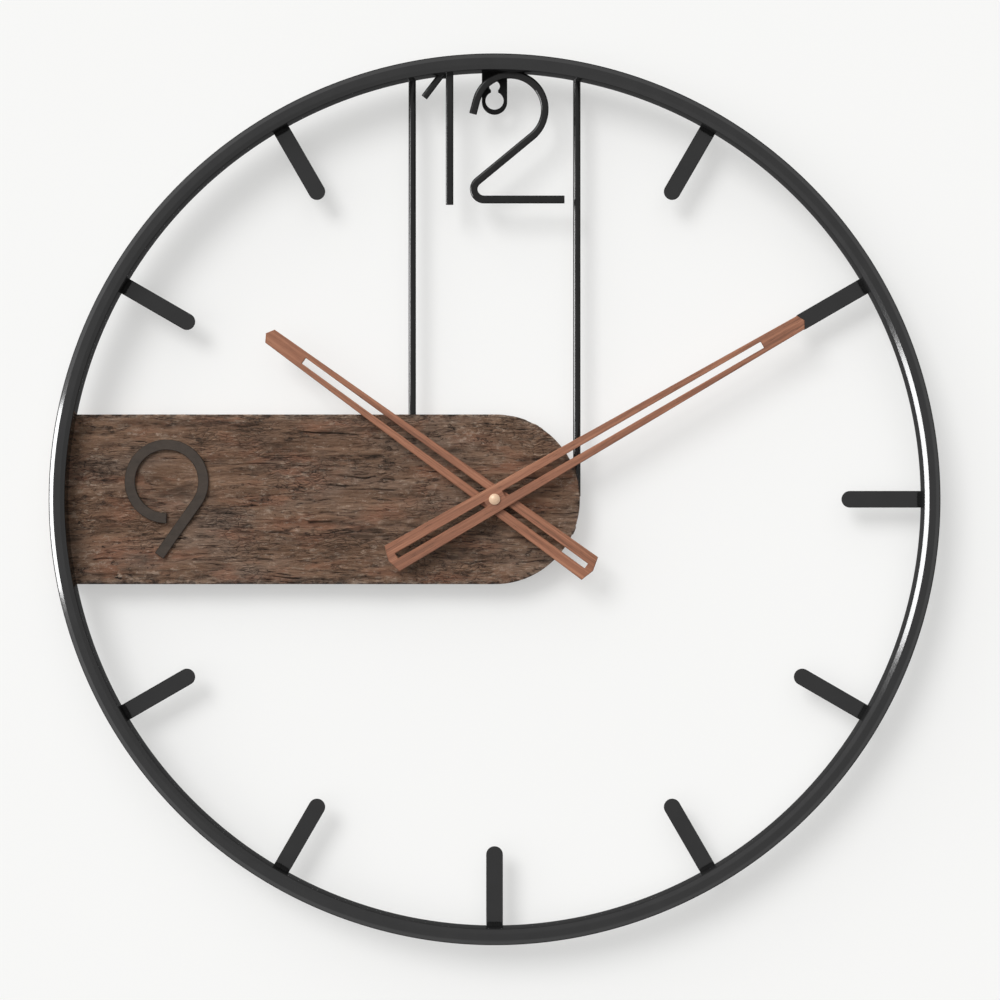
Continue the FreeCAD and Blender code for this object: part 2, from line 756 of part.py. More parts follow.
def make_bushing():
    """Threaded barrel with a flange. The thread is a row of V grooves, one each pitch."""
    def at(radius, y):
        return FreeCAD.Vector(radius, y, 0)
    points = [at(bushing_bore, bushing_end)]
    y = bushing_end
    while y < case_front - thread_pitch:
        points.append(at(bushing_radius - thread_depth, y))
        points += [at(bushing_radius, y + thread_pitch * share) for share in thread_crest]
        y += thread_pitch
    back = case_plate + bushing_flange_thickness
    points += [at(bushing_radius, case_plate), at(bushing_flange, case_plate),
               at(bushing_flange, back), at(bushing_bore, back)]
    return Part.Face(Part.makePolygon(points + points[:1])).revolve(ORIGIN, TO_WALL, 360)


def make_nut():
    back = board_front - washer_thickness
    corner = nut_flats / math.sqrt(3)
    points = [polar(corner, 30 + 60 * side) for side in range(6)]
    nut = plate(back - nut_height, back, points[0], *points[1:])
    cone = Part.makeCone(corner - nut_bevel_inside, corner + nut_bevel_outside, nut_height,
                         FreeCAD.Vector(0, back - nut_height, 0), TO_WALL)
    return nut.common(cone).cut(disc(bushing_radius, back - nut_height, back))


def make_washer():
    return ring(washer_radius, bushing_radius, board_front - washer_thickness, board_front)


def make_gasket():
    return ring(gasket_radius, bushing_radius, pocket_floor, case_front)


def make_front_case():
    case = rounded_square(case_half, case_corner, case_front, case_rim)
    inner = case_half - case_wall
    bay_ceiling = bay_top - bay_wall
    case = case.cut(block(-inner, inner, case_plate, case_rim, bay_top, inner))
    case = case.cut(block(-inner, inner, case_plate, case_rim, -inner, bay_ceiling))
    case = case.cut(disc(bushing_radius, case_front, case_plate))
    rotor_x = rotor_place()[0]
    stator_z = rotor_place()[1] - stator_half_band + stator_post_inset
    for side in (-1, 1):
        place = (rotor_x + side * (stator_half_length - stator_post_inset), stator_z)
        case = case.fuse(disc(post_radius, case_plate, stator_span[0], place))
    for z in (pcb_box[2] + pcb_post_inset, pcb_box[3] - pcb_post_inset):
        place = ((pcb_box[0] + pcb_box[1]) / 2, z)
        case = case.fuse(disc(post_radius, case_plate, pcb_span[0], place))
    for place in (third_place(), fifth_place(), rotor_place(), reverser_place()):
        hole = disc(thin_arbor_radius + running_gap, case_plate - pivot_depth - pivot_room,
                    case_plate, place)
        case = case.cut(hole)
    return case


def make_rear_cover():
    cover = rounded_square(case_half, case_corner, case_rim, cover_back)
    cover = cover.cut(block(-case_half, case_half, case_rim, cover_back, -case_half,
                            bay_top - bay_wall))
    depth = case_rim + pivot_depth + pivot_room
    for place in (third_place(), fifth_place(), rotor_place()):
        cover = cover.cut(disc(thin_arbor_radius + running_gap, case_rim, depth, place))
    cover = cover.cut(disc(seconds_arbor_radius + running_gap, case_rim, depth))
    return cover.cut(disc(knob_stem + knob_gap, case_rim, cover_back, reverser_place()))


def make_stator():
    x, z = rotor_place()
    left, right = x - stator_half_length, x + stator_half_length
    inner_left, inner_right = left + stator_leg, right - stator_leg
    low, high = z - stator_half_band, z + stator_half_band
    stator = plate(stator_span[0], stator_span[1], (left, low), (right, low), (right, stator_top),
                   (inner_right, stator_top), (inner_right, high), (inner_left, high),
                   (inner_left, stator_top), (left, stator_top))
    return stator.cut(disc(rotor_hole, stator_span[0], stator_span[1], (x, z)))


def make_coil_core():
    x = rotor_place()[0]
    back = stator_span[1] + core_thickness
    return block(x - stator_half_length, x + stator_half_length, stator_span[1], back,
                 coil_centre_z - core_half_height, coil_centre_z + core_half_height)


def coil_cylinder(radius, start, end):
    y = stator_span[1] + core_thickness / 2
    base = FreeCAD.Vector(rotor_place()[0] + start, y, coil_centre_z)
    return Part.makeCylinder(radius, end - start, base, FreeCAD.Vector(1, 0, 0))


def make_coil_bobbin():
    inside = coil_half_length - coil_flange_thickness
    bobbin = coil_cylinder(coil_tube, -coil_half_length, coil_half_length)
    bobbin = bobbin.fuse(coil_cylinder(coil_flange, -coil_half_length, -inside))
    bobbin = bobbin.fuse(coil_cylinder(coil_flange, inside, coil_half_length))
    return bobbin.cut(make_coil_core())


def make_coil_winding():
    inside = coil_half_length - coil_flange_thickness
    return coil_cylinder(coil_winding, -inside, inside).cut(coil_cylinder(coil_tube, -inside, inside))


def make_circuit_board():
    x0, x1, z0, z1 = pcb_box
    return block(x0, x1, pcb_span[0], pcb_span[1], z0, z1)


def make_chip():
    place = ((pcb_box[0] + pcb_box[1]) / 2, chip_z)
    top = pcb_span[1] + chip_height
    chip = disc(chip_radius, pcb_span[1], top, place)
    rim = [e for e in chip.Edges if abs(e.CenterOfMass.y - top) < same_place]
    return chip.makeFillet(chip_rounding, rim)


def make_crystal():
    x = (pcb_box[0] + pcb_box[1]) / 2
    return upright(crystal_radius, x, pcb_span[1] + crystal_radius, crystal_low, crystal_high)


def make_battery():
    axis = FreeCAD.Vector(1, 0, 0)
    can_end = battery_half - battery_nub
    base = FreeCAD.Vector(-battery_half, battery_y, battery_z)
    can = Part.makeCylinder(battery_radius, battery_half + can_end, base, axis)
    rims = [e for e in can.Edges if e.Closed]
    can = can.makeFillet(battery_rounding, rims)
    nub_base = FreeCAD.Vector(can_end, battery_y, battery_z)
    return can.fuse(Part.makeCylinder(battery_nub_radius, battery_nub, nub_base, axis))


def make_contact(side):
    """Flat spring plate at one end of the bay. The negative one has a pressed dome."""
    near = battery_half if side > 0 else battery_half + contact_dome_height
    x0, x1 = sorted((side * near, side * (near + contact_thickness)))
    plate_part = block(x0, x1, battery_y - contact_half, battery_y + contact_half,
                       battery_z - contact_half, battery_z + contact_half)
    if side < 0:
        base = FreeCAD.Vector(-near, battery_y, battery_z)
        dome = Part.makeCone(contact_dome_base, contact_dome_top, contact_dome_height, base,
                             FreeCAD.Vector(1, 0, 0))
        plate_part = plate_part.fuse(dome)
    return plate_part


def save(name, shape):
    shape = shape.copy()
    if shape.ShapeType != "Compound" or len(shape.Solids) == 1:
        shape = shape.removeSplitter().Solids[0]
    shape.translate(FreeCAD.Vector(0, 0, -hook_drop))
    if not shape.isValid():
        print("not valid:", name)
    shape.exportStep(os.path.join("parts", name + ".step"))
    print(name, len(shape.Solids), round(shape.Volume, 1))


def main():
    os.makedirs("parts", exist_ok=True)
    save("hoop", make_hoop())
    for hour in marker_hours:
        save("hour_marker_%d" % hour, make_marker(hour))
    save("rod_left", make_rod(-rod_offset, rod_left_end))
    save("rod_right", make_rod(rod_offset, rod_right_end))
    save("numeral_one", make_numeral_one())
    save("numeral_two", make_numeral_two())
    save("numeral_nine", make_numeral_nine())
    save("hanger_tab", make_hanger_tab())
    save("board", make_board())
    save("board_screws", make_screws())
    save("minute_hand", make_minute_hand())
    save("minute_hand_bush", make_minute_bush())
    save("cap_nut", make_cap_nut())
    save("minute_arbor", make_minute_arbor())
    save("hour_hand", make_hour_hand())
    save("hour_hand_bush", make_hour_bush())
    save("hour_wheel", make_hour_wheel())
    save("reverser_wheel", make_reverser_wheel())
    save("setting_knob", make_setting_knob())
    save("centre_wheel", make_centre_wheel())
    save("third_wheel", make_third_wheel())
    save("seconds_wheel", make_seconds_wheel())
    save("fifth_wheel", make_fifth_wheel())
    save("rotor_pinion", make_rotor())
    save("rotor_magnet", make_rotor_magnet())
    save("threaded_bushing", make_bushing())
    save("hex_nut", make_nut())
    save("washer", make_washer())
    save("rubber_gasket", make_gasket())
    save("movement_front_case", make_front_case())
    save("movement_rear_cover", make_rear_cover())
    save("stator", make_stator())
    save("coil_core", make_coil_core())
    save("coil_bobbin", make_coil_bobbin())
    save("coil_winding", make_coil_winding())
    save("circuit_board", make_circuit_board())
    save("chip", make_chip())
    save("crystal", make_crystal())
    save("battery", make_battery())
    save("contact_plus", make_contact(1))
    save("contact_minus", make_contact(-1))


main()
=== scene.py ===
import math

import bpy
import numpy as np
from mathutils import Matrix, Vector


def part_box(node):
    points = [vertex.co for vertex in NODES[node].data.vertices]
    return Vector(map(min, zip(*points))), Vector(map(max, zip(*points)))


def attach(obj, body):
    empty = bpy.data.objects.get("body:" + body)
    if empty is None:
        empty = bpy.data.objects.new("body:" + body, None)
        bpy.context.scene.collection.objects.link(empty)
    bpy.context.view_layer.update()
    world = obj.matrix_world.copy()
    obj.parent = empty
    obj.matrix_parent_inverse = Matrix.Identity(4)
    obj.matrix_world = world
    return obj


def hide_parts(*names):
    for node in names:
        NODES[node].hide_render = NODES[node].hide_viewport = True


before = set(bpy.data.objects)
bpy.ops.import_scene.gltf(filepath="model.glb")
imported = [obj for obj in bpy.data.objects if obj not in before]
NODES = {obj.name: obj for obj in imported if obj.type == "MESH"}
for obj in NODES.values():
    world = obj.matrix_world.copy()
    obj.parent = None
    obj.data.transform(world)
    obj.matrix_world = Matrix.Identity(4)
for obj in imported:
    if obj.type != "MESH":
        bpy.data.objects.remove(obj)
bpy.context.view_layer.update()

# ---------------------------------------------------------------- places taken from the frame

hoop_low, hoop_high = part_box("hoop")
AXIS_X = (hoop_low[0] + hoop_high[0]) / 2
AXIS_Z = (hoop_low[2] + hoop_high[2]) / 2
HOOP_R = (hoop_high[0] - hoop_low[0]) / 2
board_low, board_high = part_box("board")
BOARD_HALF = (board_high[2] - board_low[2]) / 2
BOARD_FRONT, BOARD_BACK = board_low[1], board_high[1]
BOARD_ROUND_X = board_high[0] - BOARD_HALF

BARS = ["rod_left", "rod_right", "numeral_one", "numeral_two"]
MARKERS = sorted(n for n in NODES if n.startswith("hour_marker_"))
HOUR_ANGLE = 30
# The hands' bearings, clockwise from the 12, in degrees.
MINUTE_BEARING, HOUR_BEARING = 60.0, 306.0


def vertices(node):
    """A CAD node's vertices as an array of rows x, y, z, in metres."""
    mesh = NODES[node].data
    flat = np.empty(len(mesh.vertices) * 3, dtype=np.float64)
    mesh.vertices.foreach_get("co", flat)
    return flat.reshape(-1, 3)


hoop_points = vertices("hoop")
HOOP_INNER = float(np.hypot(hoop_points[:, 0] - AXIS_X, hoop_points[:, 2] - AXIS_Z).min())


# ---------------------------------------------------------------- node helpers

class Tree:
    """Short calls for building a node tree."""

    def __init__(self, name):
        self.material = bpy.data.materials.new(name)
        self.material.use_nodes = True
        self.nodes = self.material.node_tree.nodes
        self.links = self.material.node_tree.links
        self.shader = self.nodes["Principled BSDF"]
        self.coords = self.nodes.new("ShaderNodeTexCoord").outputs["Object"]

    def link(self, source, node, socket):
        self.links.new(source, node.inputs[socket])

    def mapped(self, scale, turn=(0, 0, 0), move=(0, 0, 0), source=None):
        node = self.nodes.new("ShaderNodeMapping")
        node.inputs["Scale"].default_value = scale
        node.inputs["Rotation"].default_value = turn
        node.inputs["Location"].default_value = move
        self.link(source or self.coords, node, "Vector")
        return node.outputs["Vector"]

    def noise(self, vector, scale, detail, rough, colour=False):
        node = self.nodes.new("ShaderNodeTexNoise")
        self.link(vector, node, "Vector")
        node.inputs["Scale"].default_value = scale
        node.inputs["Detail"].default_value = detail
        node.inputs["Roughness"].default_value = rough
        return node.outputs["Color" if colour else "Fac"]

    def cells(self, vector, scale, feature="F1"):
        node = self.nodes.new("ShaderNodeTexVoronoi")
        node.feature = feature
        self.link(vector, node, "Vector")
        node.inputs["Scale"].default_value = scale
        return node.outputs["Distance"]

    def ramp(self, source, *stops):
        """Stops are (place, colour), a colour being a grey number or three linear values."""
        node = self.nodes.new("ShaderNodeValToRGB")
        self.link(source, node, "Fac")
        row = node.color_ramp.elements
        while len(row) < len(stops):
            row.new(0.5)
        for element, (place, colour) in zip(row, stops):
            element.position = place
            triple = (colour,) * 3 if isinstance(colour, (int, float)) else colour
            element.color = (*triple, 1.0)
        return node.outputs["Color"]

    def mix(self, amount, low, high, mode="MIX"):
        """Mixes two colours. Each may be an output or three linear values."""
        factor, colour_a, colour_b, colour_out = 0, 6, 7, 2
        node = self.nodes.new("ShaderNodeMix")
        node.data_type = "RGBA"
        node.blend_type = mode
        for value, socket in ((amount, factor), (low, colour_a), (high, colour_b)):
            if isinstance(value, bpy.types.NodeSocket):
                self.links.new(value, node.inputs[socket])
            elif socket == factor:
                node.inputs[socket].default_value = value
            else:
                node.inputs[socket].default_value = (*value, 1.0)
        return node.outputs[colour_out]

    def maths(self, operation, first, second=0.0):
        node = self.nodes.new("ShaderNodeMath")
        node.operation = operation
        for value, socket in ((first, 0), (second, 1)):
            if isinstance(value, bpy.types.NodeSocket):
                self.links.new(value, node.inputs[socket])
            else:
                node.inputs[socket].default_value = value
        return node.outputs[0]

    def warped(self, vector, amount, scale):
        """The vector moved about by a slow noise, so that grain flows and isn't straight."""
        push = self.nodes.new("ShaderNodeVectorMath")
        push.operation = "MULTIPLY_ADD"
        self.link(self.noise(vector, scale, 2.0, 0.5, colour=True), push, 0)
        push.inputs[1].default_value = (0.0, 0.0, amount)
        self.link(vector, push, 2)
        return push.outputs[0]

    def attribute(self, name):
        node = self.nodes.new("ShaderNodeAttribute")
        node.attribute_name = name
        return node.outputs["Fac"]

    def bump(self, height, distance):
        node = self.nodes.new("ShaderNodeBump")
        node.inputs["Strength"].default_value = 1.0
        node.inputs["Distance"].default_value = distance
        self.link(height, node, "Height")
        self.link(node.outputs["Normal"], self.shader, "Normal")

    def set(self, **values):
        """Sets or links the shader's inputs. An underscore stands for a space in the name."""
        for name, value in values.items():
            socket = self.shader.inputs[name.replace("_", " ")]
            if isinstance(value, bpy.types.NodeSocket):
                self.links.new(value, socket)
            else:
                socket.default_value = (*value, 1.0) if isinstance(value, tuple) else value


# ---------------------------------------------------------------- materials

def coated_metal():
    """Satin black powder coat: a faint orange peel, dust and a little change of tone."""
    t = Tree("black_powder_coat")
    peel = t.noise(t.coords, 1400.0, 2.0, 0.5)
    tone = t.noise(t.coords, 60.0, 5.0, 0.6)
    t.set(Base_Color=t.ramp(tone, (0.3, (0.0070, 0.0070, 0.0072)), (0.7, (0.0105, 0.0104, 0.0105))),
          Roughness=t.ramp(tone, (0.2, 0.11), (0.8, 0.16)), Specular_IOR_Level=0.40)
    t.bump(peel, 0.00002)
    return t.material


def bar_coat():
    """The same coat on the numerals and rods, where it is thinner and a little darker."""
    t = Tree("bar_coat")
    tone = t.noise(t.mapped((1, 1, 0.3)), 160.0, 4.0, 0.6)
    t.set(Base_Color=t.ramp(tone, (0.3, (0.0035, 0.0034, 0.0033)), (0.7, (0.0065, 0.0062, 0.0060))),
          Roughness=t.ramp(tone, (0.2, 0.12), (0.8, 0.17)), Specular_IOR_Level=0.26)
    return t.material


def weld_coat_painted_shade():
    """The same coat, darker and rough, over the welds and on the hanger tab; its darker colour is
    painted shade.
    """
    t = Tree("weld_coat_painted_shade")
    lumps = t.noise(t.coords, 700.0, 3.0, 0.6)
    t.set(Base_Color=t.ramp(lumps, (0.3, (0.004, 0.004, 0.004)), (0.7, (0.007, 0.007, 0.007))),
          Roughness=t.ramp(lumps, (0.3, 0.70), (0.7, 0.85)), Specular_IOR_Level=0.15)
    t.bump(lumps, 0.0002)
    return t.material


def numeral_metal():
    """The flat 9: matt dark metal with a brown dusting."""
    t = Tree("dark_brown_coat")
    tone = t.noise(t.mapped((1, 1, 3)), 90.0, 6.0, 0.65)
    grain = t.noise(t.coords, 900.0, 3.0, 0.6)
    t.set(Base_Color=t.ramp(tone, (0.3, (0.028, 0.0195, 0.0135)), (0.72, (0.047, 0.033, 0.0235))),
          Roughness=t.ramp(grain, (0.3, 0.5), (0.7, 0.68)), Specular_IOR_Level=0.35)
    t.bump(grain, 0.0001)
    return t.material


def board_wood():
    """Dark weathered timber: brown bands, grey and red patches, pale flecks, painted shade in
    cracks.
    """
    t = Tree("weathered_wood")
    flow = t.warped(t.coords, 0.012, 9.0)
    bands = t.noise(t.mapped((11, 60, 130), source=flow), 1.0, 10.0, 0.78)
    fibres = t.noise(t.mapped((85, 300, 640), source=flow), 1.0, 6.0, 0.78)
    patches = t.noise(t.mapped((14, 12, 40)), 1.0, 4.0, 0.6)
    reds = t.noise(t.mapped((18, 20, 55), move=(3, 0, 1)), 1.0, 5.0, 0.65)
    crumble = t.noise(t.mapped((120, 110, 230), source=flow), 1.0, 9.0, 0.78)
    chips = t.cells(t.mapped((150, 160, 560), source=t.warped(flow, 0.010, 70.0)), 1.0,
                    "DISTANCE_TO_EDGE")
    crumbly = t.ramp(t.noise(t.mapped((12, 10, 26), move=(7, 0, 4)), 1.0, 3.0, 0.5),
                     (0.42, 0.25), (0.60, 1.0))
    specks = t.noise(t.mapped((150, 200, 430)), 1.0, 7.0, 0.85)
    veins = t.noise(t.mapped((13, 60, 150), move=(0, 2, 5), source=flow), 1.0, 5.0, 0.62)
    vein_line = t.maths("ABSOLUTE", t.maths("SUBTRACT", veins, 0.5))
    broken = t.ramp(t.noise(t.mapped((45, 40, 60), move=(2, 3, 1)), 1.0, 3.0, 0.6),
                    (0.46, 0.0), (0.54, 1.0))
    vein = t.maths("MULTIPLY", t.ramp(vein_line, (0.0, 1.0), (0.016, 0.0)), broken)
    pale, dark = (0.72, 0.54, 0.41), (0.026, 0.017, 0.013)
    grey_brown, red_brown = (0.370, 0.272, 0.212), (0.540, 0.240, 0.140)
    # The second black is painted shade for cracks and hollows.
    vein_black, crack_shade_black = (0.014, 0.010, 0.008), (0.008, 0.006, 0.005)
    colour = t.ramp(bands, (0.30, (0.150, 0.080, 0.047)), (0.43, (0.290, 0.165, 0.101)),
                    (0.55, (0.425, 0.250, 0.158)), (0.68, (0.640, 0.400, 0.262)))
    colour = t.mix(t.ramp(patches, (0.45, 0.0), (0.66, 0.60)), colour, grey_brown)
    colour = t.mix(t.ramp(reds, (0.50, 0.0), (0.64, 0.60)), colour, red_brown)
    colour = t.mix(t.ramp(fibres, (0.30, 0.80), (0.44, 0.0)), colour, dark)
    # Painted shade: the colour darkens in the low pits of the crumble, which also shapes the bump.
    pit_shade = t.maths("MULTIPLY", t.ramp(crumble, (0.38, 0.95), (0.44, 0.0)), crumbly)
    bits = t.maths("MULTIPLY", t.ramp(crumble, (0.55, 0.0), (0.63, 0.80)), crumbly)
    zone = t.ramp(t.noise(t.mapped((16, 10, 36), move=(5, 1, 8)), 1.0, 4.0, 0.6),
                  (0.50, 0.0), (0.57, 1.0))
    # Painted shade in the gaps between the raised chips.
    gaps = t.maths("MULTIPLY", t.ramp(chips, (0.0, 0.7), (0.08, 0.0)), zone)
    colour = t.mix(gaps, colour, dark)
    colour = t.mix(pit_shade, colour, dark)
    colour = t.mix(bits, colour, pale)
    colour = t.mix(t.ramp(specks, (0.56, 0.0), (0.63, 0.85)), colour, pale)
    colour = t.mix(t.maths("MULTIPLY", vein, 0.9), colour, vein_black)
    worn = t.attribute("wear")
    worn_pale = t.maths("MULTIPLY", t.ramp(specks, (0.47, 0.0), (0.53, 1.0)), worn)
    # Painted shade in the crumble's low pits near the edge.
    edge_pit_shade = t.maths("MULTIPLY", t.ramp(crumble, (0.44, 1.0), (0.50, 0.0)), worn)
    colour = t.mix(worn_pale, colour, pale)
    colour = t.mix(edge_pit_shade, colour, dark)
    # Painted shade: the colour darkens where the wood is worn down between its ridges, and a little
    # on the rim and the back.
    shade = t.ramp(t.attribute("height"), (0.0, 0.42), (0.45, 0.88), (1.0, 1.0))
    colour = t.mix(1.0, colour, shade, "MULTIPLY")
    # Painted shade: cracks, the crumbled edge and the worn-in rim are darkened towards black.
    colour = t.mix(t.attribute("cavity_shade"), colour, crack_shade_black)
    rough = t.ramp(fibres, (0.3, 0.85), (0.7, 0.60))
    t.set(Base_Color=colour, Roughness=rough, Specular_IOR_Level=0.35)
    height = t.maths("ADD", t.maths("MULTIPLY", bands, 0.8), fibres)
    height = t.maths("ADD", height, t.maths("MULTIPLY", crumble, 1.3))
    domes = t.maths("MULTIPLY", t.ramp(chips, (0.0, 0.0), (0.30, 1.0)), zone)
    height = t.maths("ADD", height, t.maths("MULTIPLY", domes, 0.45))
    height = t.maths("SUBTRACT", height, t.maths("MULTIPLY", vein, 0.3))
    t.bump(height, 0.0042)
    return t.material


def hand_wood(name, bearing):
    """Reddish walnut, with its grain along the hand."""
    t = Tree(name)
    along = t.mapped((1, 1, 1), turn=(0.0, math.radians(-bearing), 0.0))
    bands = t.noise(t.mapped((520, 300, 14), source=along), 1.0, 7.0, 0.62)
    pores = t.noise(t.mapped((1900, 900, 110), source=along), 1.0, 4.0, 0.7)
    slow = t.noise(t.mapped((60, 40, 9), source=along), 1.0, 3.0, 0.5)
    colour = t.ramp(bands, (0.30, (0.135, 0.054, 0.029)), (0.50, (0.315, 0.130, 0.070)),
                    (0.72, (0.480, 0.218, 0.124)))
    colour = t.mix(t.ramp(slow, (0.35, 0.0), (0.65, 0.50)), colour, (0.243, 0.090, 0.047))
    colour = t.mix(t.ramp(pores, (0.30, 0.85), (0.44, 0.0)), colour, (0.065, 0.026, 0.014))
    t.set(Base_Color=colour, Roughness=t.ramp(pores, (0.3, 0.62), (0.6, 0.46)),
          Specular_IOR_Level=0.4)
    t.bump(t.maths("ADD", pores, t.maths("MULTIPLY", bands, 0.5)), 0.00022)
    return t.material


def metal(name, colour, rough, brushed=(1, 1, 1)):
    """Bare metal with fine marks. A larger brushed scale makes the marks finer that way."""
    spread, mark_depth = 0.08, 0.00003
    t = Tree(name)
    marks = t.noise(t.mapped(brushed), 500.0, 4.0, 0.6)
    tone = t.noise(t.coords, 160.0, 4.0, 0.6)
    dark = tuple(c * 0.78 for c in colour)
    t.set(Base_Color=t.ramp(tone, (0.3, dark), (0.7, colour)), Metallic=1.0,
          Roughness=t.ramp(marks, (0.3, rough - spread), (0.7, rough + spread)))
    t.bump(marks, mark_depth)
    return t.material


def plastic(name, colour, rough, grain=700.0, depth=0.00008, shift=0.85):
    """Moulded plastic with a fine spark-eroded texture. shift darkens its darker patches."""
    spread = 0.07
    t = Tree(name)
    texture = t.noise(t.coords, grain, 3.0, 0.6)
    tone = t.noise(t.coords, 35.0, 4.0, 0.5)
    dark = tuple(c * shift for c in colour)
    t.set(Base_Color=t.ramp(tone, (0.3, dark), (0.7, colour)),
          Roughness=t.ramp(texture, (0.3, rough - spread), (0.7, rough + spread)))
    t.bump(texture, depth)
    return t.material


def winding():
    """Enamelled copper wire, wound round the X axis."""
    t = Tree("copper_winding")
    turns = t.nodes.new("ShaderNodeTexWave")
    turns.wave_type, turns.bands_direction = "BANDS", "X"
    t.link(t.coords, turns, "Vector")
    turns.inputs["Scale"].default_value = 1500.0
    turns.inputs["Distortion"].default_value = 0.6
    colour = t.ramp(turns.outputs["Fac"], (0.1, (0.16, 0.045, 0.018)), (0.7, (0.62, 0.24, 0.11)))
    t.set(Base_Color=colour, Metallic=0.9, Roughness=0.32)
    t.bump(turns.outputs["Fac"], 0.0001)
    return t.material


def green_board():
    """Green lacquered circuit board with lighter tracks and a few solder pads."""
    t = Tree("circuit_board")
    tracks = t.ramp(t.cells(t.mapped((1, 1, 1)), 330.0, "DISTANCE_TO_EDGE"),
                    (0.10, 1.0), (0.13, 0.0))
    pads = t.ramp(t.cells(t.mapped((1, 0, 1)), 260.0), (0.20, 1.0), (0.23, 0.0))
    colour = t.mix(tracks, (0.012, 0.085, 0.040), (0.030, 0.190, 0.085))
    colour = t.mix(pads, colour, (0.62, 0.62, 0.60))
    t.set(Base_Color=colour, Roughness=t.ramp(pads, (0.0, 0.28), (1.0, 0.42)))
    t.bump(tracks, 0.00005)
    return t.material


def battery_wrap():
    """A plain cell: a dark label over most of its length, then a copper-coloured band."""
    label_share, bare_end = 0.70, 0.0019
    low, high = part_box("battery")
    t = Tree("battery_wrap")
    split = t.nodes.new("ShaderNodeSeparateXYZ")
    t.link(t.coords, split, "Vector")
    band = low[0] + (high[0] - low[0]) * label_share
    is_band = t.maths("GREATER_THAN", split.outputs["X"], band)
    off_middle = t.maths("SUBTRACT", split.outputs["X"], (low[0] + high[0]) / 2)
    end = t.maths("GREATER_THAN", t.maths("ABSOLUTE", off_middle),
                  (high[0] - low[0]) / 2 - bare_end)
    tone = t.noise(t.coords, 300.0, 3.0, 0.5)
    label = t.mix(is_band, (0.016, 0.017, 0.020), (0.52, 0.23, 0.08))
    colour = t.mix(end, label, (0.60, 0.60, 0.60))
    t.set(Base_Color=colour, Metallic=t.maths("MAXIMUM", is_band, end),
          Roughness=t.ramp(tone, (0.3, 0.22), (0.7, 0.34)))
    t.bump(tone, 0.00002)
    return t.material


def cap_metal():
    """Pale gold, satin, turned."""
    t = Tree("pale_gold")
    marks = t.noise(t.mapped((1, 6, 1)), 900.0, 4.0, 0.6)
    t.set(Base_Color=t.ramp(marks, (0.3, (0.70, 0.48, 0.32)), (0.7, (0.80, 0.56, 0.38))),
          Metallic=0.15, Roughness=t.ramp(marks, (0.3, 0.32), (0.7, 0.44)))
    t.bump(marks, 0.00003)
    return t.material


def paint(node, material):
    obj = NODES[node]
    obj.data.materials.clear()
    obj.data.materials.append(material)


# ---------------------------------------------------------------- mesh helpers

def new_mesh(name, points, faces, smooth=True):
    mesh = bpy.data.meshes.new(name)
    mesh.from_pydata([tuple(p) for p in points], [], [tuple(f) for f in faces])
    mesh.update()
    obj = bpy.data.objects.new(name, mesh)
    bpy.context.scene.collection.objects.link(obj)
    if smooth:
        mesh.shade_smooth()
    return obj


def soft_shade(obj, degrees):
    """Smooth shading, with creases where faces meet at a sharp angle."""
    obj.data.shade_smooth()
    obj.data.set_sharp_from_angle(angle=math.radians(degrees))


def lattice_noise(rng, x, z, size_x, size_z):
    """Smooth noise from 0 to 1 over points x, z. The sizes are those of its features."""
    across, up = x / size_x, z / size_z
    across, up = across - across.min(), up - up.min()
    table = rng.random((int(across.max()) + 3, int(up.max()) + 3))
    i, j = across.astype(int), up.astype(int)
    u, v = across - i, up - j
    u, v = u * u * (3 - 2 * u), v * v * (3 - 2 * v)
    low = table[i, j] * (1 - u) + table[i + 1, j] * u
    high = table[i, j + 1] * (1 - u) + table[i + 1, j + 1] * u
    return low * (1 - v) + high * v


def layered_noise(rng, x, z, size_x, size_z, layers):
    """Lattice noise added up in layers, each of half the size and a little over half the weight."""
    total, weight, amount = 0.0, 0.0, 1.0
    for _ in range(layers):
        total = total + lattice_noise(rng, x, z, size_x, size_z) * amount
        weight += amount
        amount *= 0.55
        size_x, size_z = size_x / 2, size_z / 2
    return total / weight


# ---------------------------------------------------------------- hoop

# Each bevel with the rounding behind it, and the rounding of the rear corners, in metres.
OUTER_BEVEL, INNER_BEVEL = (0.00365, 0.0034), (0.0028, 0.0010)
REAR_ROUNDING = 0.0014
BEVEL_ANGLE = 45
# A point this far inside each bevel keeps the front face's shading flat.
FACE_HOLD = 0.0003
# The points on a bevel's slope, as shares of it.
SLOPE_SHARES = (0.04, 0.5)
ARC_STEPS = 6
HOOP_TURNS = 720
# The welds at the markers' roots: the fillet's size and half length, how far it sinks into the
# metal, and its rise for each unit of its size.
WELD_LEG, WELD_HALF, WELD_SINK, WELD_RISE = 0.0030, 0.0054, 0.0002, 0.9
WELD_STEPS, WELD_ARC = 22, 9


def hoop_side(edge, inward, bevel, rounding):
    """One side of the hoop's section, from its front face to its rear. inward is +1 or -1."""
    front, back = hoop_low[1], hoop_high[1]
    slope = math.radians(BEVEL_ANGLE)
    side_start = front + bevel + rounding * math.tan(slope / 2)
    bevel_end = rounding * (1 - math.cos(slope))
    side = [(bevel + FACE_HOLD, front), (bevel, front)]
    for share in SLOPE_SHARES:
        depth_in = bevel + (bevel_end - bevel) * share
        side.append((depth_in, front + bevel - depth_in))
    for step in range(ARC_STEPS + 1):
        a = math.radians(BEVEL_ANGLE - step * BEVEL_ANGLE / ARC_STEPS)
        side.append((rounding * (1 - math.cos(a)), side_start - rounding * math.sin(a)))
    for step in range(ARC_STEPS + 1):
        a = math.radians(step * 90 / ARC_STEPS)
        side.append((REAR_ROUNDING * (1 - math.cos(a)), back - REAR_ROUNDING * (1 - math.sin(a))))
    return [(edge + inward * depth_in, y) for depth_in, y in side]


def hoop_section():
    """Points (radius, y) round the hoop's section."""
    outer = hoop_side(HOOP_R, -1, *OUTER_BEVEL)
    inner = hoop_side(HOOP_INNER, 1, *INNER_BEVEL)
    return outer + inner[::-1]


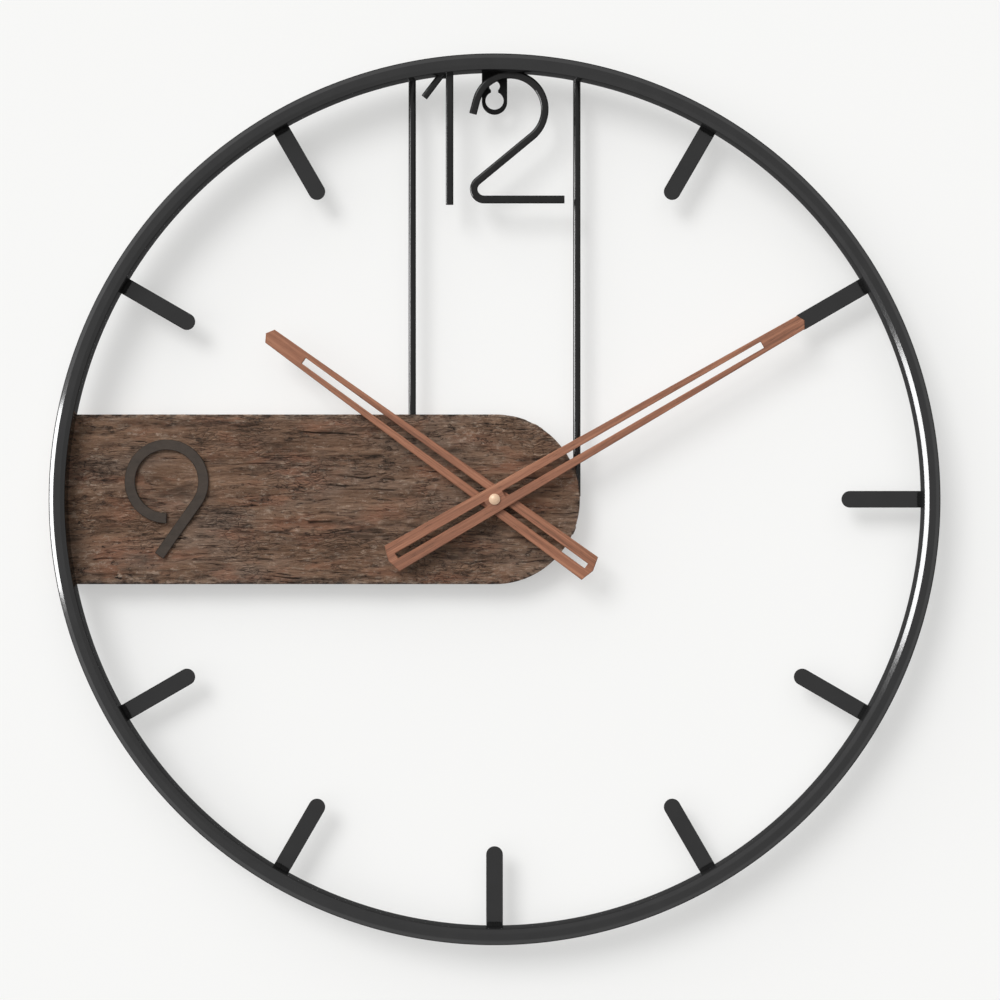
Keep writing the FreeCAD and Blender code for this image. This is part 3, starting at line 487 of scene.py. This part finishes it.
def make_hoop():
    """The hoop as one smooth surface: its section turned about the hands' axis."""
    section = hoop_section()
    count = len(section)
    points, faces = [], []
    for turn in range(HOOP_TURNS):
        a = 2 * math.pi * turn / HOOP_TURNS
        for radius, y in section:
            points.append((AXIS_X + radius * math.sin(a), y, AXIS_Z + radius * math.cos(a)))
    for turn in range(HOOP_TURNS):
        here, there = turn * count, (turn + 1) % HOOP_TURNS * count
        for k in range(count):
            n = (k + 1) % count
            faces.append((here + k, here + n, there + n, there + k))
    hoop = new_mesh("hoop_tube", points, faces)
    soft_shade(hoop, 32)
    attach(hoop, "frame")
    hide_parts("hoop")
    return hoop


def make_welds():
    """A small rounded weld where each hour marker meets the hoop's inner wall."""
    rng = np.random.default_rng(7)
    centre = np.array([AXIS_X, 0, AXIS_Z])
    row = WELD_ARC + 1
    points, faces = [], []
    for name in MARKERS:
        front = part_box(name)[0][1]
        bearing = math.radians(HOUR_ANGLE * int(name.split("_")[-1]))
        outward = np.array([math.sin(bearing), 0, math.cos(bearing)])
        across = np.array([math.cos(bearing), 0, -math.sin(bearing)])
        base = len(points)
        for i in range(WELD_STEPS + 1):
            along = (i / WELD_STEPS - 0.5) * 2 * WELD_HALF
            ripple = 0.90 + 0.10 * math.sin(i * 1.9)
            jitter = 0.94 + 0.12 * rng.random()
            leg = WELD_LEG * ripple * jitter
            leg *= math.sqrt(max(1 - (abs(along) / (WELD_HALF * 1.02)) ** 8, 0.05))
            wall = math.sqrt(HOOP_INNER ** 2 - along ** 2)
            for k in range(WELD_ARC + 1):
                a = math.radians(90 * k / WELD_ARC)
                reach = wall + WELD_SINK - leg * math.cos(a)
                lift = front + WELD_SINK - leg * WELD_RISE * math.sin(a)
                p = centre + outward * reach + across * along
                points.append((p[0], lift, p[2]))
        for i in range(WELD_STEPS):
            for k in range(WELD_ARC):
                q = base + i * row + k
                faces.append((q, q + 1, q + 1 + row, q + row))
    welds = new_mesh("marker_welds", points, faces)
    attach(welds, "frame")
    return welds


# ---------------------------------------------------------------- board

# All sizes are in metres. The front is a grid of columns and lines, and the rim adds rows.
COLUMNS, LINES, RIM_ROWS = 380, 400, 12
CRACKS = 90
CRACK_X, CRACK_HALF_LENGTH, CRACK_WIDTH = (-0.29, 0.06), (0.006, 0.045), (0.00018, 0.00042)
# How deep the wood is worn between its ridges, between its fine grain lines and in cracks, and
# the worn depth at which the painted shade between the ridges is darkest.
RIDGE_DEPTH, GRAIN_DEPTH, CRACK_DEPTH, FULL_SHADE_DEPTH = 0.0034, 0.0014, 0.0014, 0.0018
# The crumbled edge: its depth and reach, and the least and added radius of its roll-off.
CRUMB_DEPTH, CRUMB_REACH = 0.0026, 0.006
ROLL_LEAST, ROLL_ADDED, ROLL_SHARE = 0.0009, 0.0014, 0.9
EDGE_REACH = 0.0022
# The rim: the depth of its broad and fine wear, the length over which that starts at the hoop,
# how fast it ends near the back, and the wear at which the rim's painted shade is darkest.
BROAD_WEAR, FINE_WEAR = 0.0120, 0.0160
LEFT_FADE, BACK_FADE, RIM_SHADE_WEAR = 0.004, 6, 0.0035
# What the wood's attributes say on the rim and on the back; the height and the wear also set how
# much painted shade they get.
RIM_HEIGHT, RIM_WEAR, BACK_HEIGHT = 0.6, 0.3, 0.7


def crack_depth(rng, x, z):
    """Long thin cracks along the grain. Returns each point's depth, from 0 to 1."""
    sway = (lattice_noise(rng, x, z, 0.055, 0.040) - 0.5) * 0.007
    sway += (lattice_noise(rng, x, z, 0.008, 0.012) - 0.5) * 0.0018
    gaps = np.clip((lattice_noise(rng, x, z, 0.007, 0.004) - 0.36) * 5, 0, 1)
    depth = np.zeros_like(x)
    for _ in range(CRACKS):
        centre_x = rng.uniform(*CRACK_X)
        centre_z = rng.uniform(-1.0, 1.0) * BOARD_HALF
        half_length = rng.uniform(*CRACK_HALF_LENGTH)
        width = rng.uniform(*CRACK_WIDTH)
        deep = rng.uniform(0.35, 1.0)
        taper = 1 - ((x - centre_x) / half_length) ** 2
        near = taper > 0
        off = np.abs(z[near] + sway[near] - centre_z)
        cut = deep * taper[near] * np.exp(-(off / (width * (0.4 + taper[near]))) ** 2)
        depth[near] = np.maximum(depth[near], cut * gaps[near])
    return depth


def board_rim_carving(rng, path, rows):
    """How far the board's rim is worn in, in metres, along its path and by depth row."""
    grid_path, grid_row = np.meshgrid(path, rows, indexing="ij")
    broad = layered_noise(rng, grid_path, grid_row, 0.016, 0.060, 3)
    fine = layered_noise(rng, grid_path, grid_row, 0.0040, 0.030, 3)
    return np.clip(broad - 0.42, 0, 1) * BROAD_WEAR + np.clip(fine - 0.45, 0, 1) * FINE_WEAR


def board_grid():
    """The front's points x and z, as lines of columns, and the x of its left edge on each line."""
    z_line = BOARD_HALF * np.sin(np.linspace(-math.pi / 2, math.pi / 2, LINES + 1))
    left = AXIS_X - np.sqrt(HOOP_INNER ** 2 - z_line ** 2)
    right = BOARD_ROUND_X + np.sqrt(np.maximum(BOARD_HALF ** 2 - z_line ** 2, 0))
    share = np.linspace(0, 1, COLUMNS + 1)
    x = left[:, None] + (right - left)[:, None] * share[None, :]
    z = np.repeat(z_line[:, None], COLUMNS + 1, axis=1)
    return x, z, left


def board_face(rng, x, z):
    """How deep the front is worn at each point, then its painted shade, height and wear from 0 to
    1.
    """
    ridges = layered_noise(rng, x, z, 0.026, 0.0060, 5)
    grain = layered_noise(rng, x, z, 0.0075, 0.0016, 2)
    crumbs = layered_noise(rng, x, z, 0.0045, 0.0035, 3)
    cracks = crack_depth(rng, x, z)
    from_rim = BOARD_HALF - np.hypot(np.maximum(x - BOARD_ROUND_X, 0), z)
    near_rim = np.exp(-from_rim / CRUMB_REACH)
    relief = RIDGE_DEPTH * np.clip(0.66 - ridges, 0, 1) + GRAIN_DEPTH * np.clip(0.62 - grain, 0, 1)
    # The height sets the painted shade: the wood is darker the deeper it is worn between the
    # ridges.
    height = np.clip(1 - relief / FULL_SHADE_DEPTH, 0, 1)
    carve = relief + CRACK_DEPTH * cracks + near_rim * CRUMB_DEPTH * np.clip(crumbs - 0.38, 0, 1)
    roll_radius = ROLL_LEAST + ROLL_ADDED * layered_noise(rng, x, z, 0.012, 0.012, 3)
    into = np.clip(1 - from_rim / roll_radius, 0, 1)
    carve += roll_radius * (1 - np.sqrt(1 - into ** 2)) * ROLL_SHARE
    # Painted shade: the colour is darkened in the cracks and where the crumbled edge is carved
    # deep.
    cavity_shade = np.clip(cracks * 1.1, 0, 1) * 0.92
    cavity_shade = np.maximum(cavity_shade, np.clip((near_rim * crumbs - 0.42) * 2.2, 0, 0.7))
    return carve, cavity_shade, height, np.exp(-from_rim / EDGE_REACH)


def rim_path():
    """The front's edge as lines and columns of its grid: bottom, round end, top."""
    path = [(0, i) for i in range(COLUMNS + 1)]
    path += [(j, COLUMNS) for j in range(1, LINES)]
    path += [(LINES, i) for i in range(COLUMNS, -1, -1)]
    return np.array(path).T


def make_board():
    """Weathered board: a finely gridded front and rim, with the CAD board's own back and pocket."""
    rng = np.random.default_rng(41)
    x, z, left = board_grid()
    carve, cavity_shade, height, wear = board_face(rng, x, z)

    rim_j, rim_i = rim_path()
    rim_x, rim_z = x[rim_j, rim_i], z[rim_j, rim_i]
    out_x, out_z = np.maximum(rim_x - BOARD_ROUND_X, 0), rim_z.copy()
    size = np.hypot(out_x, out_z)
    out_x, out_z = out_x / size, out_z / size
    path = np.concatenate([[0], np.cumsum(np.hypot(np.diff(rim_x), np.diff(rim_z)))])
    levels = np.linspace(0, 1, RIM_ROWS + 1)
    worn = board_rim_carving(rng, path, levels * (BOARD_BACK - BOARD_FRONT))
    worn *= np.minimum((1 - levels) * BACK_FADE, 1)[None, :]
    worn *= np.minimum((rim_x - left[rim_j]) / LEFT_FADE, 1)[:, None]
    x[rim_j, rim_i] -= out_x * worn[:, 0]
    z[rim_j, rim_i] -= out_z * worn[:, 0]

    # The front.
    count = COLUMNS + 1
    y = BOARD_FRONT + carve
    points = [np.stack([x, y, AXIS_Z + z], axis=-1).reshape(-1, 3)]
    corners = [j * count + i for j in range(LINES) for i in range(COLUMNS)]
    faces = [(a, a + 1, a + 1 + count, a + count) for a in corners]
    cavity_shades, heights, wears = [cavity_shade.reshape(-1)], [height.reshape(-1)], [wear.reshape(-1)]

    # The rim, row by row towards the back.
    previous = rim_j * count + rim_i
    rim_y = y[rim_j, rim_i]
    total = len(points[0])
    for row in range(1, RIM_ROWS + 1):
        shelf = rim_y + (BOARD_BACK - rim_y) * levels[row]
        points.append(np.stack([rim_x - out_x * worn[:, row], shelf,
                                AXIS_Z + rim_z - out_z * worn[:, row]], axis=-1))
        # Painted shade: the rim is darker where it is worn in deeper.
        cavity_shades.append(np.clip(worn[:, row] / RIM_SHADE_WEAR, 0, 0.5))
        heights.append(np.full(len(rim_x), RIM_HEIGHT))
        wears.append(np.full(len(rim_x), RIM_WEAR))
        current = total + np.arange(len(rim_x))
        total += len(rim_x)
        for k in range(len(rim_x) - 1):
            faces.append((previous[k], current[k], current[k + 1], previous[k + 1]))
        previous = current

    # The back.
    back_points, back_faces = board_back_faces()
    faces += [tuple(v + total for v in face) for face in back_faces]
    points.append(back_points)
    cavity_shades.append(np.zeros(len(back_points)))
    heights.append(np.full(len(back_points), BACK_HEIGHT))
    wears.append(np.zeros(len(back_points)))

    board = new_mesh("board_timber", np.concatenate(points), faces)
    soft_shade(board, 50)
    for layer_name, values in (("cavity_shade", cavity_shades), ("height", heights), ("wear", wears)):
        layer = board.data.attributes.new(layer_name, "FLOAT", "POINT")
        layer.data.foreach_set("value", np.concatenate(values).astype(np.float32))
    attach(board, "frame")
    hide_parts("board")
    return board


def board_back_faces():
    """The CAD board's faces other than its front and outer rim, as points and faces."""
    facing, edge_on, near, near_round = 0.9, 0.1, 0.0001, 0.0006
    mesh = NODES["board"].data
    kept = []
    for face in mesh.polygons:
        c, n = face.center, face.normal
        z = c.z - AXIS_Z
        on_front = n.y < -facing and c.y < BOARD_FRONT + near
        on_straight = abs(n.z) > facing and abs(z) > BOARD_HALF - near
        from_round = math.hypot(c.x - BOARD_ROUND_X, z)
        on_round = (c.x > BOARD_ROUND_X and abs(n.y) < edge_on
                    and from_round > BOARD_HALF - near_round)
        if not (on_front or on_straight or on_round):
            kept.append(face)
    used = sorted({v for face in kept for v in face.vertices})
    place = {v: i for i, v in enumerate(used)}
    points = np.array([tuple(mesh.vertices[v].co) for v in used])
    return points, [[place[v] for v in face.vertices] for face in kept]


# ---------------------------------------------------------------- build

CAD_CREASE = 30
BLACK = coated_metal()
WELD_AND_SHADE_COAT = weld_coat_painted_shade()

hoop = make_hoop()
hoop.data.materials.append(BLACK)
welds = make_welds()
# The welds' darker coat is painted shade at the markers' roots.
welds.data.materials.append(WELD_AND_SHADE_COAT)
board = make_board()
board.data.materials.append(board_wood())

FINISHES = {
    "numeral_nine": numeral_metal(),
    # The hanger tab is painted darker as shade: it sits behind the hoop, in shadow.
    "hanger_tab": WELD_AND_SHADE_COAT,
    "minute_hand": hand_wood("walnut_minute", MINUTE_BEARING),
    "hour_hand": hand_wood("walnut_hour", HOUR_BEARING),
    "cap_nut": cap_metal(),
    "board_screws": metal("zinc_screw", (0.55, 0.55, 0.54), 0.35),
    "rubber_gasket": plastic("black_rubber", (0.018, 0.018, 0.018), 0.75, 400.0, 0.0001),
    "rotor_magnet": metal("magnet", (0.20, 0.20, 0.21), 0.45),
    "coil_winding": winding(),
    "circuit_board": green_board(),
    "chip": plastic("chip_epoxy", (0.012, 0.012, 0.013), 0.30, 300.0, 0.00015),
    "crystal": metal("crystal_can", (0.72, 0.72, 0.70), 0.22),
    "battery": battery_wrap(),
}
brass = metal("brass", (0.78, 0.58, 0.28), 0.30, (1, 8, 1))
steel = metal("contact_steel", (0.70, 0.70, 0.69), 0.28, (1, 1, 6))
iron = metal("soft_iron", (0.42, 0.42, 0.43), 0.38, (4, 1, 1))
case = plastic("case_plastic", (0.030, 0.030, 0.032), 0.52)
cog = plastic("gear_plastic", (0.78, 0.77, 0.72), 0.42, 500.0, 0.00004, 0.93)
knob = plastic("knob_plastic", (0.66, 0.66, 0.63), 0.48, 500.0, 0.00004)
bobbin = plastic("bobbin_plastic", (0.60, 0.52, 0.36), 0.45)
for material, names in (
        (BLACK, MARKERS), (bar_coat(), BARS),
        (brass, ("minute_hand_bush", "hour_hand_bush", "threaded_bushing", "hex_nut", "washer")),
        (steel, ("contact_plus", "contact_minus")), (iron, ("stator", "coil_core")),
        (case, ("movement_front_case", "movement_rear_cover")), (knob, ("setting_knob",)),
        (bobbin, ("coil_bobbin",)),
        (cog, ("hour_wheel", "reverser_wheel", "centre_wheel", "third_wheel", "seconds_wheel",
               "fifth_wheel", "rotor_pinion", "minute_arbor"))):
    for name in names:
        FINISHES[name] = material
for name, material in FINISHES.items():
    paint(name, material)
    soft_shade(NODES[name], CAD_CREASE)


# ---------------------------------------------------------------- stage, light and camera

# The key light comes from this direction, seen from the clock. For diffuse light the surround
# is brightest there, between the two levels as the direction turns away from it.
KEY_FROM = (-0.54, -1.0, 0.62)
SUN_ENERGY, SUN_ANGLE = 1.32, 25
BRIGHT_LEVEL, DIM_LEVEL = 1.76, 0.14
BRIGHT_FROM, DIM_FROM = 0.95, 0.40
# For reflections the surround has one level in front, and a low one well behind the wall.
GLOSS_LEVEL, GLOSS_BEHIND = 1.20, 0.10
GLOSS_ENDS, BEHIND_STARTS = 0.20, 0.42
CAMERA_SURROUND = (0.93, 0.93, 0.92, 1)
# The wall and floor glow a little, so that the shadows on them stay pale.
WALL_ALBEDO, WALL_GLOW = 0.53, 0.425
FLOOR_ALBEDO, FLOOR_GLOW = 0.45, 0.48
GLOW_COLOUR = (1.0, 1.0, 0.987)
WALL_GAP, WALL_REACH, WALL_TOP = 0.0005, 6, 4
FLOOR_DROP, FLOOR_REACH = 0.75, 60
# Upright softboxes to the left of the clock: name, y, width, height and power.
SOFTBOXES = (("softbox_front", -0.40, 0.56, 1.10, 57.0), ("softbox_rear", 0.16, 0.30, 0.66, 13.0))
SOFTBOX_DISTANCE = 1.5
# Two lamps behind the wall, one each side, for the views from the back.
REAR_ASIDE, REAR_BEHIND, REAR_UP = 1.1, 1.6, 0.7
REAR_POWER, REAR_SIZE = 32.0, 1.2
CAMERA_Y = -1.753
SENSOR_WIDTH, LENS = 36.0, 92.95
SHIFT_X, SHIFT_Y = 0.0054, -0.0007


def plane(name, corners, material):
    obj = new_mesh(name, corners, [(0, 1, 2, 3)], smooth=False)
    obj.data.materials.append(material)
    return obj


def glowing_paint(name, albedo, glow):
    """Matt pale paint with a little light of its own."""
    t = Tree(name)
    tone = t.noise(t.coords, 3.0, 2.0, 0.5)
    light = (albedo, albedo, albedo * 0.99)
    dark = tuple(c * 0.995 for c in light)
    t.set(Base_Color=t.ramp(tone, (0.2, dark), (0.8, light)), Roughness=0.9,
          Specular_IOR_Level=0.0, Emission_Color=GLOW_COLOUR, Emission_Strength=glow)
    return t


def clear_from_behind(t):
    """Makes a paint clear from behind, so that the wall doesn't hide the clock's back."""
    clear = t.nodes.new("ShaderNodeBsdfTransparent")
    which = t.nodes.new("ShaderNodeMixShader")
    side = t.nodes.new("ShaderNodeNewGeometry")
    t.link(side.outputs["Backfacing"], which, 0)
    t.link(t.shader.outputs[0], which, 1)
    t.link(clear.outputs[0], which, 2)
    t.link(which.outputs[0], t.nodes["Material Output"], "Surface")


def make_stage():
    wall_y = BOARD_BACK + WALL_GAP
    floor_z = AXIS_Z - FLOOR_DROP
    wall_paint = glowing_paint("wall_paint", WALL_ALBEDO, WALL_GLOW)
    clear_from_behind(wall_paint)
    wall = plane("wall", [(-WALL_REACH, wall_y, floor_z), (WALL_REACH, wall_y, floor_z),
                          (WALL_REACH, wall_y, WALL_TOP), (-WALL_REACH, wall_y, WALL_TOP)],
                 wall_paint.material)
    floor = plane("floor", [(-FLOOR_REACH, -FLOOR_REACH, floor_z),
                            (FLOOR_REACH, -FLOOR_REACH, floor_z),
                            (FLOOR_REACH, FLOOR_REACH, floor_z),
                            (-FLOOR_REACH, FLOOR_REACH, floor_z)],
                  glowing_paint("floor_paint", FLOOR_ALBEDO, FLOOR_GLOW).material)
    for obj in (wall, floor):
        obj.visible_diffuse = False
        obj.visible_glossy = False
        obj.visible_shadow = False
    wall.visible_transmission = False


def level_ramp(tree, source, low, high):
    """A smooth change of level between two (value, level) points."""
    node = tree.nodes.new("ShaderNodeMapRange")
    node.interpolation_type = "SMOOTHSTEP"
    for name, value in zip(("From Min", "To Min", "From Max", "To Max"), low + high):
        node.inputs[name].default_value = value
    tree.links.new(source, node.inputs["Value"])
    return node.outputs["Result"]


def make_world():
    """Soft surround with its own levels for diffuse light and reflections, plain to the camera."""
    world = bpy.data.worlds.new("studio")
    bpy.context.scene.world = world
    world.use_nodes = True
    tree = world.node_tree
    nodes, links = tree.nodes, tree.links
    nodes.clear()
    output = nodes.new("ShaderNodeOutputWorld")
    light = nodes.new("ShaderNodeBackground")
    plain = nodes.new("ShaderNodeBackground")
    plain.inputs["Color"].default_value = CAMERA_SURROUND
    coords = nodes.new("ShaderNodeTexCoord")
    towards = nodes.new("ShaderNodeVectorMath")
    towards.operation = "DOT_PRODUCT"
    towards.inputs[1].default_value = Vector(KEY_FROM).normalized()
    split = nodes.new("ShaderNodeSeparateXYZ")
    seen = nodes.new("ShaderNodeLightPath")
    links.new(coords.outputs["Generated"], towards.inputs[0])
    links.new(coords.outputs["Generated"], split.inputs[0])
    broad = level_ramp(tree, towards.outputs["Value"],
                       (DIM_FROM, DIM_LEVEL), (BRIGHT_FROM, BRIGHT_LEVEL))
    even = level_ramp(tree, split.outputs["Y"],
                      (GLOSS_ENDS, GLOSS_LEVEL), (BEHIND_STARTS, GLOSS_BEHIND))
    strength = nodes.new("ShaderNodeMix")
    links.new(seen.outputs["Is Glossy Ray"], strength.inputs[0])
    links.new(broad, strength.inputs[2])
    links.new(even, strength.inputs[3])
    links.new(strength.outputs[0], light.inputs["Strength"])
    mix = nodes.new("ShaderNodeMixShader")
    links.new(seen.outputs["Is Camera Ray"], mix.inputs[0])
    links.new(light.outputs[0], mix.inputs[1])
    links.new(plain.outputs[0], mix.inputs[2])
    links.new(mix.outputs[0], output.inputs[0])


def lamp(name, kind, place, target, energy, **settings):
    data = bpy.data.lights.new(name, kind)
    data.energy = energy
    for key, value in settings.items():
        setattr(data, key, value)
    obj = bpy.data.objects.new(name, data)
    obj.location = place
    obj.rotation_euler = (Vector(target) - Vector(place)).to_track_quat("-Z", "Y").to_euler()
    bpy.context.scene.collection.objects.link(obj)
    return obj


def make_lights():
    """The sun, the softboxes, which light only the hoop and the bars, and the rear lamps."""
    centre = Vector((AXIS_X, 0.0, AXIS_Z))
    lamp("key", "SUN", centre + Vector(KEY_FROM), centre, SUN_ENERGY,
         angle=math.radians(SUN_ANGLE))
    shown = bpy.data.collections.new("lit_by_softbox")
    for obj in [hoop] + [NODES[n] for n in BARS]:
        shown.objects.link(obj)
    for name, y, wide, tall, energy in SOFTBOXES:
        strip = lamp(name, "AREA", centre + Vector((-SOFTBOX_DISTANCE, y, 0.0)),
                     centre + Vector((0.0, y, 0.0)), energy,
                     shape="RECTANGLE", size=wide, size_y=tall)
        strip.light_linking.receiver_collection = shown
    for name, side in (("rear_left", -1), ("rear_right", 1)):
        rear = lamp(name, "AREA", centre + Vector((side * REAR_ASIDE, REAR_BEHIND, REAR_UP)),
                    centre, REAR_POWER, shape="SQUARE", size=REAR_SIZE)
        rear.visible_glossy = False


def make_camera():
    data = bpy.data.cameras.new("camera")
    data.sensor_width = SENSOR_WIDTH
    data.lens = LENS
    data.shift_x, data.shift_y = SHIFT_X, SHIFT_Y
    camera = bpy.data.objects.new("camera", data)
    camera.location = (AXIS_X, CAMERA_Y, AXIS_Z)
    camera.rotation_euler = (math.radians(90), 0, 0)
    bpy.context.scene.collection.objects.link(camera)
    bpy.context.scene.camera = camera


make_stage()
make_world()
make_lights()
make_camera()
bpy.context.scene.view_settings.view_transform = "Standard"
